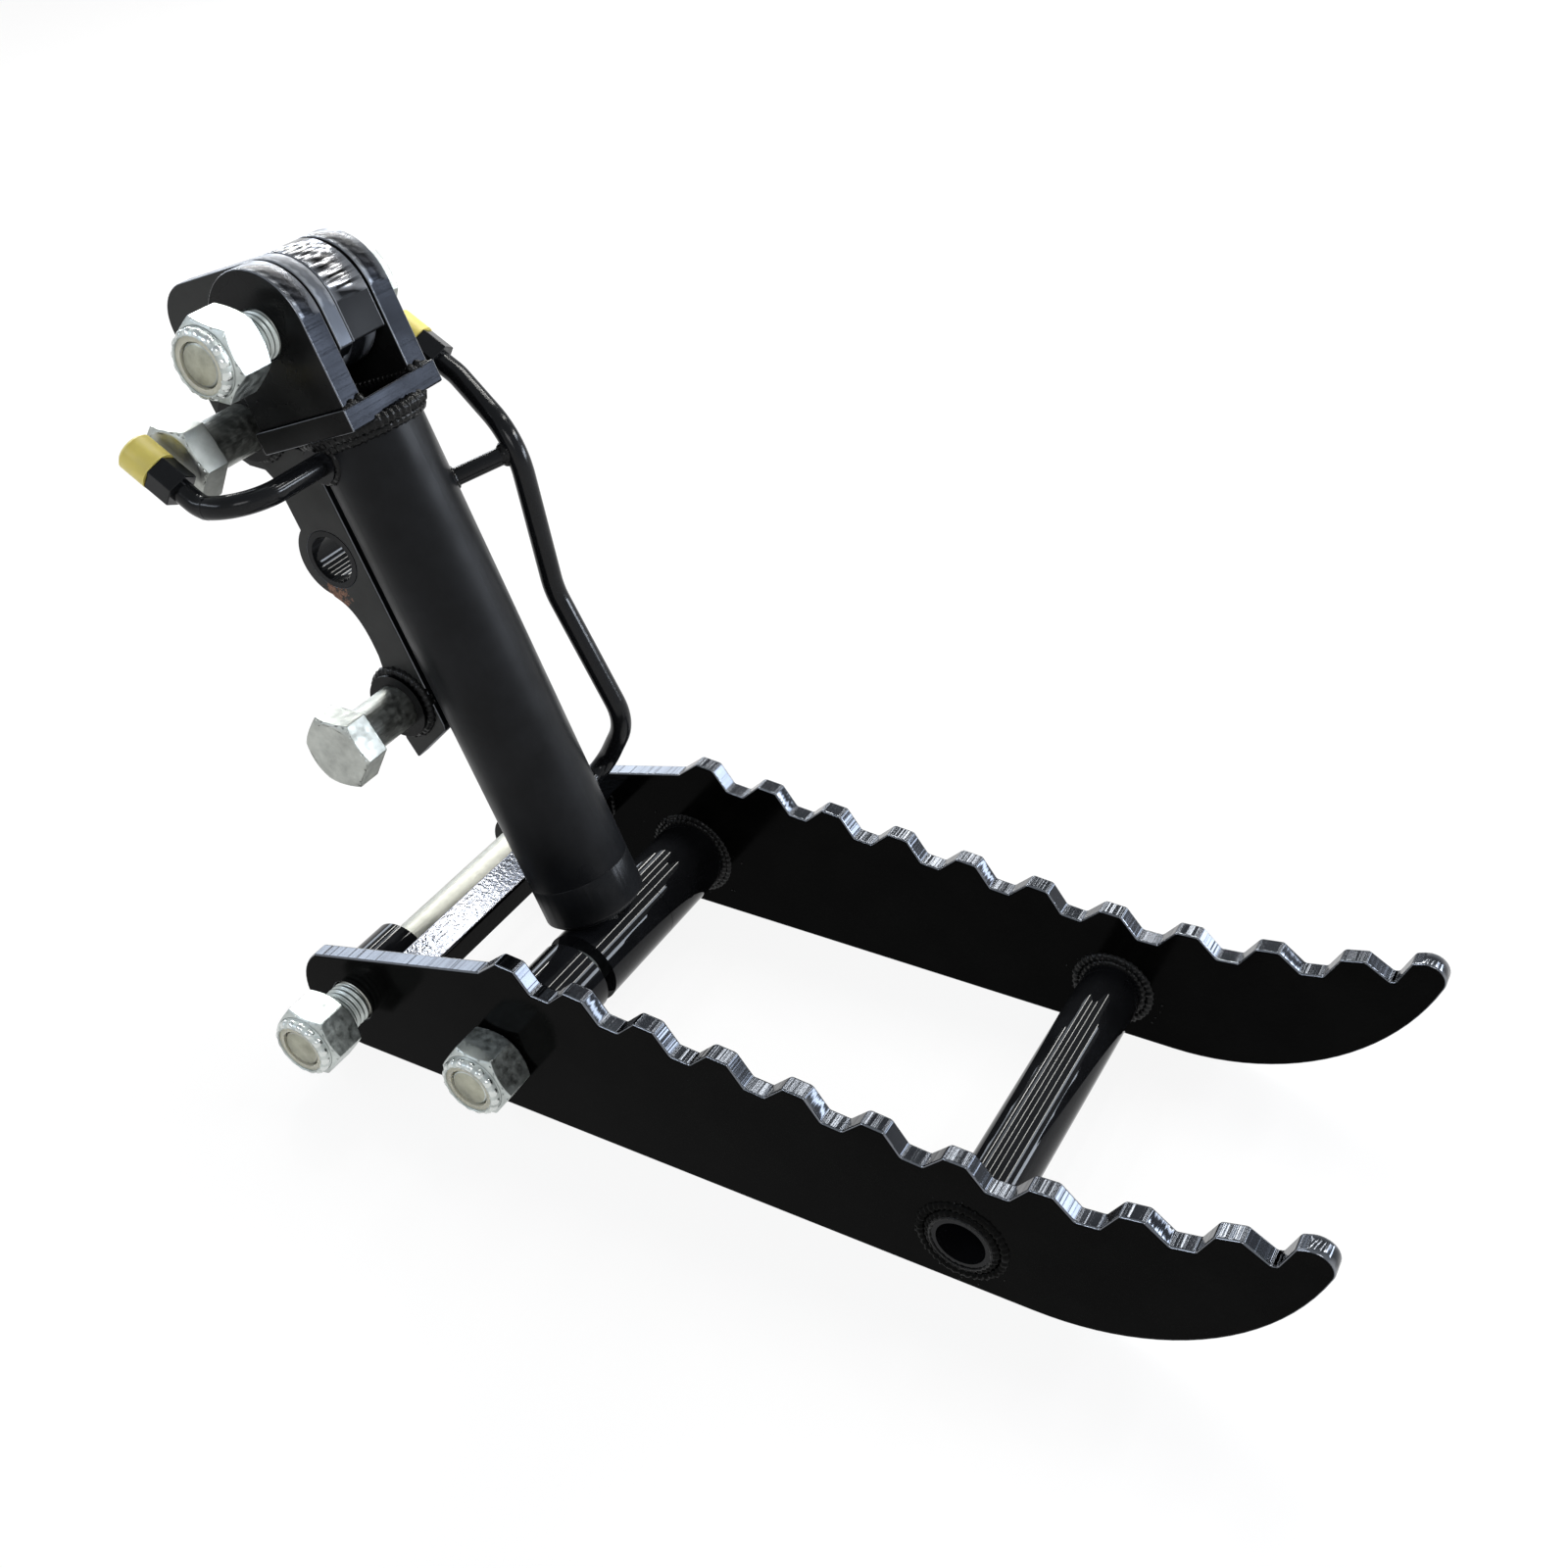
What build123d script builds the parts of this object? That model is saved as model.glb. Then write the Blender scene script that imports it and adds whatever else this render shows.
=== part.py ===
from build123d import *
import os
from math import atan, cos, radians, sin, sqrt, tan

os.makedirs("parts", exist_ok=True)

# Hydraulic thumb: two serrated tines, a short cylinder between them and a swinging stick bracket.
# Millimetres. Origin: centre of the hinge bolt's axis. +X hinge to tips, +Y left, +Z up.

# Fasteners, M24
bolt_d = 24.0
across_flats = 36.0
head_height = 15.0
thread_core_d = 21.4
core_gap = 0.2
nut_height = 25.5
nut_hex_height = 20.5
nut_collar_d = 32.5
chamfer_flat_share = 0.95
chamfer_slope = radians(30)
collar_round = 2.5
insert_d = 27.0
insert_height = 4.0
insert_sink = 1.0
bolt_end_sink = 1.5
plain_short = 2.0
fixed_gap = 0.3
pin_gap = 0.05

# Tine plates
tine_inside = 172.0
tine_thickness = 10.0
hinge_round_r = 31.5
back_slope = 15.1
back_height = 28.8
tooth_count = 11
last_tooth_gap = 31.2
tooth_flat = 11.0
tooth_flank = 9.0
first_flank = 12.0
tooth_depth = 10.7
first_tooth_x = 105.0
first_tooth_z = 65.1
edge_fall = 0.089
edge_bend_x = 325.0
edge_bend_r = 390.0
tip_crest = 20.0
sole_end_x = 383.0
toe_r = 127.0
toe_middle = radians(40)
tip_round_r = 9.0

# Hinge end: bolt, welded bosses and the bar in front of it
hinge_boss_d = 38.0
hinge_boss_length = 33.0
hinge_nut_standoff = 15.0
hinge_nut_spin = -7.0
cross_bar_x = 33.8
cross_bar_z = 19.7
cross_bar_width = 21.8
cross_bar_thickness = 13.6
cross_bar_round = 1.5

# Rod pin
rod_pin_x = 97.0
rod_pin_z = 2.2
spacer_d = 42.0
spacer_length = 54.7
rod_nut_standoff = 1.0
rod_nut_spin = -5.0

# Cross tube near the tips
tip_tube_x = 348.8
tip_tube_z = -2.8
tip_tube_d = 32.0
tip_tube_wall = 4.0
tip_tube_proud = 2.0

# Cylinder
cylinder_angle = 110.0
closed_length = 352.5
stroke = 160.0
cylinder_y = 4.25
eye_d = 42.0
eye_width = 54.6
barrel_d = 55.0
bore_d = 45.0
rod_d = 30.0
rod_stub_d = 20.0
gland_lip = 25.0
gland_inside = 26.0
gland_chamfer = 3.0
seal_width = 6.0
seal_depth = 4.0
wiper_width = 5.0
piston_width = 26.0
piston_nut_height = 13.0
piston_nut_flats = 30.0
rod_end_proud = 2.0
rod_end_chamfer = 1.5
end_play = 4.5
end_cap_thickness = 6.0

# Clevis on top of the cylinder
clevis_plate_size = 64.0
clevis_plate_thickness = 11.0
clevis_plate_drop = 41.0
ear_r = 30.0
ear_thickness = 13.0
clevis_gap = 33.5
pin_setback = 5.0
top_nut_standoff = 12.7
top_nut_spin = -12.0

# Stick bracket, hanging from the top pin
bracket_thickness = 9.0
bracket_ear_thickness = 22.0
bracket_side_gap = 1.0
bracket_back = 72.5
bracket_top = 31.5
bracket_corner_r = 20.0
bracket_shelf = 58.0
bracket_corner_cut = 5.0
bracket_ear_drop = 18.0
ear_foot_in = 6.0
ear_foot_drop = 4.0
neck_in = 22.0
neck_drop = 28.0
neck_play = 1.5
neck_rise = 4.0
barrel_clearance = 0.8
shoulder_out = 3.0
shoulder_drop = 4.0
shoulder_end = 10.0
strip_width = 32.0
waist_width = 22.0
waist_curve_in = 7.0
waist_curve_drop = 28.0
waist_top = 40.0
waist_bottom = 54.0
mid_straight = 19.0
strip_bottom = 226.0
strip_bottom_rise = 13.5
strip_foot_rise = 12.0
strip_foot_in = 2.0
strip_heel_in = 1.0
strip_heel_rise = 3.0
mid_bore_d = 25.0
mid_bulge_r = 21.5
mid_tube_length = 20.0
mid_tube_wall = 3.0
strip_bore_across = 43.5
mid_bore_drop = 112.6
lower_bolt_drop = 193.4
upper_bolt_across = 50.0
upper_bolt_drop = 38.9
bolt_ring_d = 35.0
bolt_ring_height = 5.0
weld_nut_length = 20.0
bracket_bolt_free = 32.5
bracket_bolt_tip = 2.0

# Oil ports
tube_d = 11.0
port_boss_d = 18.0
port_boss_height = 2.5
port_hole_d = 6.0
base_port_drop = 63.0
base_port_offset = 8.0
rod_port_rise = 5.9
base_tube_reach = 50.0
base_turn_side = 28.5
base_turn_drop = 57.0
base_end_side = 35.8
base_end_drop = 47.6
rod_tube_reach = 16.5
rod_lower_side = 34.5
rod_lower_rise = 26.0
rod_middle_side = 27.0
rod_upper_side = 45.0
rod_upper_drop = 91.0
rod_cap_reach = 9.0
rod_turn_side = 18.2
rod_turn_drop = 55.3
rod_end_side = 11.6
rod_end_drop = 47.3
small_bend_r = 14.0
wide_bend_r = 24.0
easy_bend_r = 40.0
fitting_flats = 16.5
fitting_length = 14.0
cap_d = 19.0
cap_length = 16.0
cap_wall = 1.5
strut_d = 9.0
strut_drop = 96.0
strut_side = 40.0

# Worked-out places
outside = tine_inside / 2 + tine_thickness
inside = tine_inside / 2
lean = radians(cylinder_angle)
along = Vector(cos(lean), 0, sin(lean))
across = Vector(sin(lean), 0, -cos(lean))
rod_pin = Vector(rod_pin_x, 0, rod_pin_z)
top_pin = rod_pin + along * closed_length - across * pin_setback
base_port_side = pin_setback - base_port_offset
rod_port_side = pin_setback
axis_foot = rod_pin + Vector(0, cylinder_y, 0)
gland_bottom = eye_d / 2 + 2 * fixed_gap
barrel_bottom = gland_bottom + gland_lip
gland_top = barrel_bottom + gland_inside
barrel_top = closed_length - clevis_plate_drop - clevis_plate_thickness
rod_port_drop = closed_length - gland_top - rod_port_rise


def spot(side, y, height):
    """Point given across and along the cylinder, from the top pin."""
    return top_pin + across * side + along * height + Vector(0, y, 0)


def section(y):
    """Plane facing -Y at the given y, x across and y along the cylinder, from the top pin."""
    return Plane(origin=spot(0, y, 0), x_dir=across, z_dir=(0, -1, 0))


def slice_at(distance):
    """Plane square to the cylinder's axis at a distance from the rod pin."""
    return Plane(origin=axis_foot + along * distance, x_dir=across, z_dir=along)


def save(built, name):
    built.part.label = name
    export_step(built.part, "parts/" + name + ".step")


def round_profile(place, y, points, direction=1):
    """Profile of (radius, distance) points, in the plane of a Y axis, ready to revolve."""
    with BuildSketch(Plane(origin=(place.X, y, place.Z), x_dir=(1, 0, 0), z_dir=(0, 0, 1))) as drawn:
        with BuildLine():
            Polyline([(r, direction * d) for r, d in points], close=True)
        make_face()
    return drawn.sketch


def y_axis(place):
    return Axis((place.X, 0, place.Z), (0, 1, 0))


def face_plane(place, y, direction):
    """Plane square to Y with its normal along +Y or -Y."""
    return Plane(origin=(place.X, y, place.Z), x_dir=(1, 0, 0), z_dir=(0, direction, 0))


def hex_bolt(place, seat, direction, plain, length, spin=0.0):
    """Hexagon bolt along Y: seat is under its head and direction is the way its shank runs."""
    corner = across_flats / sqrt(3)
    flat = across_flats / 2 * chamfer_flat_share
    rim = (corner - flat) * tan(chamfer_slope)
    with BuildPart() as bolt:
        with BuildSketch(face_plane(place, seat, -direction)):
            RegularPolygon(across_flats / 2, 6, major_radius=False, rotation=spin)
        extrude(amount=head_height)
        head = [(0, 0), (corner, 0), (corner, rim - head_height)]
        head += [(flat, -head_height), (0, -head_height)]
        revolve(round_profile(place, seat, head, direction), y_axis(place), mode=Mode.INTERSECT)
        run_out = (bolt_d - thread_core_d) / 2
        shank = [(0, 0), (bolt_d / 2, 0), (bolt_d / 2, plain), (thread_core_d / 2, plain + run_out)]
        shank += [(thread_core_d / 2, length - run_out), (thread_core_d / 2 - run_out, length), (0, length)]
        revolve(round_profile(place, seat, shank, direction), y_axis(place))
    return bolt


def lock_nut(place, back, direction, spin=0.0):
    """Nut with a crimped collar: back is its bearing face, direction the way its collar points."""
    corner = across_flats / sqrt(3)
    flat = across_flats / 2 * chamfer_flat_share
    rim = (corner - flat) * tan(chamfer_slope)
    collar = nut_collar_d / 2
    with BuildPart() as nut:
        with BuildSketch(face_plane(place, back, direction)):
            RegularPolygon(across_flats / 2, 6, major_radius=False, rotation=spin)
        extrude(amount=nut_hex_height)
        trim = [(0, 0), (flat, 0), (corner, rim), (corner, nut_hex_height - rim)]
        trim += [(flat, nut_hex_height), (0, nut_hex_height)]
        revolve(round_profile(place, back, trim, direction), y_axis(place), mode=Mode.INTERSECT)
        step = collar_round / 3
        dome = [(0, nut_hex_height), (collar, nut_hex_height), (collar, nut_height - collar_round)]
        dome += [(collar - step, nut_height - step), (collar - collar_round, nut_height), (0, nut_height)]
        revolve(round_profile(place, back, dome, direction), y_axis(place))
        hole = thread_core_d / 2 + core_gap
        bore = [(0, 0), (hole, 0), (hole, nut_height - insert_height)]
        bore += [(insert_d / 2, nut_height - insert_height), (insert_d / 2, nut_height), (0, nut_height)]
        revolve(round_profile(place, back, bore, direction), y_axis(place), mode=Mode.SUBTRACT)
    return nut


def nylon_insert(place, back, direction):
    """Nylon ring that fills the nut's collar, just below its rim."""
    start = nut_height - insert_height
    hole = thread_core_d / 2 + core_gap
    end = nut_height - insert_sink
    ring = [(hole, start), (insert_d / 2, start), (insert_d / 2, end), (hole, end)]
    with BuildPart() as insert:
        revolve(round_profile(place, back, ring, direction), y_axis(place))
    return insert


def y_tube(place, start, end, outer, inner):
    """Plain tube along Y from start to end."""
    with BuildPart() as tube:
        with BuildSketch(face_plane(place, start, 1)):
            Circle(outer / 2)
            Circle(inner / 2, mode=Mode.SUBTRACT)
        extrude(amount=end - start)
    return tube


# Tine outline: a round hinge end, a straight sole, a curved toe and eleven teeth
edge_turn = atan(edge_fall)
edge_bend_z = first_tooth_z - edge_fall * (edge_bend_x - first_tooth_x)
edge_centre = Vector(edge_bend_x + edge_bend_r * sin(edge_turn), edge_bend_z + edge_bend_r * cos(edge_turn))
toe_centre = Vector(sole_end_x, toe_r - hinge_round_r)


def circles_meet(centre, radius, other_centre, other_radius):
    """Crossing of two circles that lies to the right of the line from the first centre to the other."""
    apart = (other_centre - centre).length
    way = (other_centre - centre) / apart
    on_line = (radius**2 - other_radius**2 + apart**2) / (2 * apart)
    aside = sqrt(radius**2 - on_line**2)
    return centre + way * on_line + Vector(way.Y, -way.X) * aside


tip = circles_meet(toe_centre, toe_r, edge_centre, edge_bend_r)
last_tooth_x = tip.X - tip_crest
tooth_pitch = (last_tooth_x - last_tooth_gap - first_tooth_x) / (tooth_count - 2)


def edge_height(x):
    """Height of the line that the tooth crests follow: it falls, then bends up to the tip."""
    if x < edge_bend_x:
        return first_tooth_z - edge_fall * (x - first_tooth_x)
    return edge_centre.Y - sqrt(edge_bend_r**2 - (x - edge_centre.X) ** 2)


def below_edge(x):
    """Point one tooth depth below the crest line, square to it."""
    slope = edge_height(x + 0.5) - edge_height(x - 0.5)
    size = sqrt(1 + slope**2)
    return (x + tooth_depth * slope / size, edge_height(x) - tooth_depth / size)


def tooth_line():
    """Corners of the serrated edge from the first tooth's foot to the tip."""
    foot_x = first_tooth_x - first_flank
    points = [(foot_x, back_line(foot_x))]
    for number in range(tooth_count - 1):
        x = first_tooth_x + number * tooth_pitch
        end = x + tooth_flat
        following = x + tooth_pitch if number < tooth_count - 2 else last_tooth_x
        points += [(x, edge_height(x)), (end, edge_height(end))]
        points += [below_edge(end + tooth_flank), below_edge(following - tooth_flank)]
    return points + [(last_tooth_x, edge_height(last_tooth_x)), (tip.X, tip.Y)]


def back_line(x):
    """Height of the sloping back edge above the hinge."""
    slope = radians(back_slope)
    return (back_height + x * sin(slope)) / cos(slope)


def tine(inner_face, direction):
    """Serrated plate with its bores, from its inner face outwards."""
    turn = radians(back_slope)
    half = sqrt(hinge_round_r**2 - back_height**2)
    shoulder = (-back_height * sin(turn) - half * cos(turn), back_height * cos(turn) - half * sin(turn))
    toe_mid = toe_centre + Vector(toe_r * sin(toe_middle), -toe_r * cos(toe_middle))
    with BuildPart() as plate:
        with BuildSketch(Plane.XZ.offset(-inner_face)) as outline:
            with BuildLine():
                Line((0, -hinge_round_r), (sole_end_x, -hinge_round_r))
                ThreePointArc((sole_end_x, -hinge_round_r), toe_mid, tip)
                Polyline(*reversed([shoulder] + tooth_line()))
                ThreePointArc(shoulder, (-hinge_round_r, 0), (0, -hinge_round_r))
            make_face()
            fillet(outline.vertices().group_by(Axis.X)[-1].sort_by(Axis.Y)[-1], tip_round_r)
            with Locations((0, 0), (rod_pin_x, rod_pin_z)):
                Circle(bolt_d / 2 + fixed_gap, mode=Mode.SUBTRACT)
            with Locations((tip_tube_x, tip_tube_z)):
                Circle(tip_tube_d / 2 + fixed_gap / 2, mode=Mode.SUBTRACT)
        extrude(amount=tine_thickness * direction)
    return plate


hinge = Vector(0, 0, 0)
tip_tube_place = Vector(tip_tube_x, 0, tip_tube_z)
save(tine(-inside, 1), "right_tine")
save(tine(inside, -1), "left_tine")

# Hinge end
clear_bore = bolt_d + 2 * fixed_gap
save(y_tube(hinge, -inside, -inside + hinge_boss_length, hinge_boss_d, clear_bore), "right_hinge_boss")
save(y_tube(hinge, inside - hinge_boss_length, inside, hinge_boss_d, clear_bore), "left_hinge_boss")
with BuildPart() as cross_bar:
    with BuildSketch(Plane.XZ.offset(-inside)):
        with Locations((cross_bar_x, cross_bar_z)):
            RectangleRounded(cross_bar_width, cross_bar_thickness, cross_bar_round)
    extrude(amount=tine_inside)
save(cross_bar, "cross_bar")
hinge_nut_back = outside + hinge_nut_standoff
hinge_bolt_length = outside + hinge_nut_back + nut_height - bolt_end_sink
save(hex_bolt(hinge, outside, -1, 2 * outside - plain_short, hinge_bolt_length), "hinge_bolt")
save(lock_nut(hinge, -hinge_nut_back, -1, hinge_nut_spin), "hinge_nut")
save(nylon_insert(hinge, -hinge_nut_back, -1), "hinge_nut_insert")

# Rod pin between the tines
save(y_tube(rod_pin, -inside, -inside + spacer_length, spacer_d, clear_bore), "right_rod_spacer")
save(y_tube(rod_pin, inside - spacer_length, inside, spacer_d, clear_bore), "left_rod_spacer")
rod_nut_back = outside + rod_nut_standoff
rod_bolt_length = outside + rod_nut_back + nut_height - bolt_end_sink
save(hex_bolt(rod_pin, outside, -1, 2 * outside - plain_short, rod_bolt_length), "rod_pin_bolt")
save(lock_nut(rod_pin, -rod_nut_back, -1, rod_nut_spin), "rod_pin_nut")
save(nylon_insert(rod_pin, -rod_nut_back, -1), "rod_pin_nut_insert")

# Tube that ties the tines near their tips
tip_tube_end = outside + tip_tube_proud
save(y_tube(tip_tube_place, -tip_tube_end, tip_tube_end, tip_tube_d, tip_tube_d - 2 * tip_tube_wall),
     "tip_cross_tube")

# Rod side of the cylinder
eye_left = inside - spacer_length - fixed_gap
save(y_tube(rod_pin, eye_left - eye_width, eye_left, eye_d, bolt_d + 2 * pin_gap), "rod_eye")
chamber_top = barrel_top - end_cap_thickness
rod_top = chamber_top - end_play
piston_top = rod_top - rod_end_proud - piston_nut_height
piston_bottom = piston_top - piston_width
with BuildPart() as piston_rod:
    with BuildSketch(slice_at(0)):
        Circle(rod_d / 2)
    extrude(amount=piston_bottom)
    with BuildSketch(slice_at(piston_bottom)):
        Circle(rod_stub_d / 2)
    extrude(amount=rod_top - piston_bottom)
    chamfer(piston_rod.edges().sort_by(Axis((0, 0, 0), along))[-1], rod_end_chamfer)
    with BuildSketch(face_plane(rod_pin, -inside, 1)):
        Circle(eye_d / 2)
    extrude(amount=tine_inside, mode=Mode.SUBTRACT)
save(piston_rod, "piston_rod")
groove_d = bore_d - 2 * seal_depth
with BuildPart() as piston:
    with BuildSketch(slice_at(piston_bottom)):
        Circle(bore_d / 2 - pin_gap)
        Circle(rod_stub_d / 2 + pin_gap, mode=Mode.SUBTRACT)
    extrude(amount=piston_width)
    with BuildSketch(slice_at(piston_bottom + (piston_width - seal_width) / 2)):
        Circle(bore_d / 2)
        Circle(groove_d / 2, mode=Mode.SUBTRACT)
    extrude(amount=seal_width, mode=Mode.SUBTRACT)
save(piston, "piston")
with BuildPart() as piston_seal:
    with BuildSketch(slice_at(piston_bottom + (piston_width - seal_width) / 2 + pin_gap)):
        Circle(bore_d / 2 - pin_gap)
        Circle(groove_d / 2 + pin_gap, mode=Mode.SUBTRACT)
    extrude(amount=seal_width - 2 * pin_gap)
save(piston_seal, "piston_seal")
with BuildPart() as piston_nut:
    with BuildSketch(slice_at(piston_top)):
        RegularPolygon(piston_nut_flats / 2, 6, major_radius=False)
        Circle(rod_stub_d / 2 + pin_gap, mode=Mode.SUBTRACT)
    extrude(amount=piston_nut_height)
save(piston_nut, "piston_nut")

# Barrel side of the cylinder
with BuildPart() as barrel_tube:
    with BuildSketch(slice_at(barrel_bottom)):
        Circle(barrel_d / 2)
        Circle(bore_d / 2, mode=Mode.SUBTRACT)
    extrude(amount=barrel_top - barrel_bottom)
    for side, drop, way in ((base_port_side, base_port_drop, 1), (rod_port_side, rod_port_drop, -1)):
        with BuildSketch(section(cylinder_y)):
            with Locations((side, -drop)):
                Circle(port_hole_d / 2)
        extrude(amount=way * barrel_d, mode=Mode.SUBTRACT)
save(barrel_tube, "barrel_tube")
with BuildPart() as end_cap:
    with BuildSketch(slice_at(chamber_top)):
        Circle(bore_d / 2)
    extrude(amount=end_cap_thickness)
save(end_cap, "end_cap")
with BuildPart() as gland:
    with BuildSketch(slice_at(gland_bottom)):
        Circle(barrel_d / 2)
    extrude(amount=gland_lip)
    chamfer(gland.edges().sort_by(Axis((0, 0, 0), along))[0], gland_chamfer)
    with BuildSketch(slice_at(barrel_bottom)):
        Circle(bore_d / 2)
    extrude(amount=gland_inside)
    with BuildSketch(slice_at(gland_bottom)):
        Circle(rod_d / 2 + pin_gap)
    extrude(amount=gland_lip + gland_inside, mode=Mode.SUBTRACT)
    with BuildSketch(slice_at(gland_bottom)):
        Circle(rod_d / 2 + seal_depth)
    extrude(amount=wiper_width, mode=Mode.SUBTRACT)
    with BuildSketch(slice_at(barrel_bottom + gland_inside / 2)):
        Circle(rod_d / 2 + seal_depth)
    extrude(amount=seal_width, mode=Mode.SUBTRACT)
save(gland, "gland")
with BuildPart() as wiper_seal:
    with BuildSketch(slice_at(gland_bottom)):
        Circle(rod_d / 2 + seal_depth - pin_gap)
        Circle(rod_d / 2 + pin_gap, mode=Mode.SUBTRACT)
    extrude(amount=wiper_width)
save(wiper_seal, "wiper_seal")
with BuildPart() as rod_seal:
    with BuildSketch(slice_at(barrel_bottom + gland_inside / 2)):
        Circle(rod_d / 2 + seal_depth - pin_gap)
        Circle(rod_d / 2 + pin_gap, mode=Mode.SUBTRACT)
    extrude(amount=seal_width)
save(rod_seal, "rod_seal")

# Clevis: square plate and two ears
with BuildPart() as clevis_plate:
    with BuildSketch(slice_at(barrel_top)):
        with Locations((-pin_setback, 0)):
            Rectangle(clevis_plate_size, clevis_plate_size)
    extrude(amount=clevis_plate_thickness)
save(clevis_plate, "clevis_plate")


def clevis_ear(near_face):
    """Ear with a round top, standing on the clevis plate."""
    with BuildPart() as ear:
        with BuildSketch(section(near_face)):
            Circle(ear_r)
            with Locations((0, -clevis_plate_drop / 2)):
                Rectangle(2 * ear_r, clevis_plate_drop)
            Circle(bolt_d / 2 + fixed_gap, mode=Mode.SUBTRACT)
        extrude(amount=-ear_thickness)
    return ear


right_ear_face = cylinder_y - clevis_gap / 2 - ear_thickness
left_ear_face = cylinder_y + clevis_gap / 2
save(clevis_ear(right_ear_face), "right_clevis_ear")
save(clevis_ear(left_ear_face), "left_clevis_ear")
top_seat = left_ear_face + ear_thickness
top_nut_back = right_ear_face - top_nut_standoff
top_plain = top_seat - right_ear_face - plain_short
top_bolt_length = top_seat - top_nut_back + nut_height - bolt_end_sink
save(hex_bolt(top_pin, top_seat, -1, top_plain, top_bolt_length), "top_pin_bolt")
save(lock_nut(top_pin, top_nut_back, -1, top_nut_spin), "top_pin_nut")
save(nylon_insert(top_pin, top_nut_back, -1), "top_pin_nut_insert")


# Oil ports: a welded boss, a bent tube, a hexagon fitting and a plug cap at each end
def port_boss(side, drop, direction):
    """Round boss standing on the barrel, drilled through to the port in the barrel's wall."""
    foot = Plane(origin=spot(side, cylinder_y, -drop), x_dir=across, z_dir=(0, direction, 0))
    with BuildPart() as boss:
        with BuildSketch(foot):
            Circle(port_boss_d / 2)
            Circle(port_hole_d / 2, mode=Mode.SUBTRACT)
        extrude(amount=barrel_d / 2 + port_boss_height)
        with BuildSketch(slice_at(closed_length - drop - port_boss_d)):
            Circle(barrel_d / 2)
        extrude(amount=2 * port_boss_d, mode=Mode.SUBTRACT)
    return boss


def bent_tube(corners, bends):
    """Round tube bent at every inner corner of a route, each bend with its own centre-line radius."""
    with BuildPart() as tube:
        with BuildLine() as path:
            FilletPolyline(*corners, radius=bends)
        with BuildSketch(Plane(origin=corners[0], z_dir=corners[1] - corners[0])):
            Circle(tube_d / 2)
        sweep(path=path.line)
    return tube


def tube_end(corners):
    """Plane at the end of a route, facing the way the tube points."""
    return Plane(origin=corners[-1], z_dir=corners[-1] - corners[-2])


def fitting(plane):
    """Hexagon fitting on the end of a tube."""
    with BuildPart() as nut:
        with BuildSketch(plane):
            RegularPolygon(fitting_flats / 2, 6, major_radius=False)
        extrude(amount=fitting_length)
    return nut


def plug_cap(plane):
    """Plastic cap on the open end of a fitting."""
    with BuildPart() as cap:
        with BuildSketch(plane.offset(fitting_length)):
            Circle(cap_d / 2)
        extrude(amount=cap_length)
        chamfer(cap.edges().sort_by(Axis(plane.origin, plane.z_dir))[-1], cap_wall)
        with BuildSketch(plane.offset(fitting_length)):
            Circle(cap_d / 2 - cap_wall)
        extrude(amount=cap_length - cap_wall, mode=Mode.SUBTRACT)
    return cap


near_port_face = cylinder_y - barrel_d / 2 - port_boss_height
far_port_face = cylinder_y + barrel_d / 2 + port_boss_height
base_tube_y = near_port_face - base_tube_reach
rod_tube_y = far_port_face + rod_tube_reach
rod_cap_y = rod_tube_y + rod_cap_reach
rod_lower_drop = rod_port_drop - rod_lower_rise
base_route = [
    spot(base_port_side, near_port_face, -base_port_drop),
    spot(base_port_side, base_tube_y, -base_port_drop),
    spot(-base_turn_side, base_tube_y, -base_turn_drop),
    spot(-base_end_side, base_tube_y, -base_end_drop),
]
rod_route = [
    spot(rod_port_side, far_port_face, -rod_port_drop),
    spot(rod_port_side, rod_tube_y, -rod_port_drop),
    spot(rod_lower_side, rod_tube_y, -rod_lower_drop),
    spot(rod_middle_side, rod_tube_y, -(rod_lower_drop + rod_upper_drop) / 2),
    spot(rod_upper_side, rod_tube_y, -rod_upper_drop),
    spot(rod_turn_side, rod_cap_y, -rod_turn_drop),
    spot(rod_end_side, rod_cap_y, -rod_end_drop),
]
base_bends = [wide_bend_r, small_bend_r]
rod_bends = [small_bend_r, wide_bend_r, easy_bend_r, easy_bend_r, wide_bend_r]
save(port_boss(base_port_side, base_port_drop, -1), "base_port_boss")
save(bent_tube(base_route, base_bends), "base_port_tube")
save(fitting(tube_end(base_route)), "base_port_fitting")
save(plug_cap(tube_end(base_route)), "base_port_cap")
save(port_boss(rod_port_side, rod_port_drop, 1), "rod_port_boss")
save(bent_tube(rod_route, rod_bends), "rod_port_tube")
save(fitting(tube_end(rod_route)), "rod_port_fitting")
save(plug_cap(tube_end(rod_route)), "rod_port_cap")

# Strut that holds the long tube off the barrel
strut_to = spot(strut_side, rod_tube_y, -strut_drop)
strut_from = spot(pin_setback, cylinder_y, -strut_drop)
strut_way = (strut_to - strut_from).normalized()
with BuildPart() as tube_strut:
    with BuildSketch(Plane(origin=strut_from, z_dir=strut_way)):
        Circle(strut_d / 2)
    extrude(amount=(strut_to - strut_from).length - tube_d / 2)
    with BuildSketch(slice_at(closed_length - strut_drop - strut_d)):
        Circle(barrel_d / 2)
    extrude(amount=2 * strut_d, mode=Mode.SUBTRACT)
save(tube_strut, "tube_strut")

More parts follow.
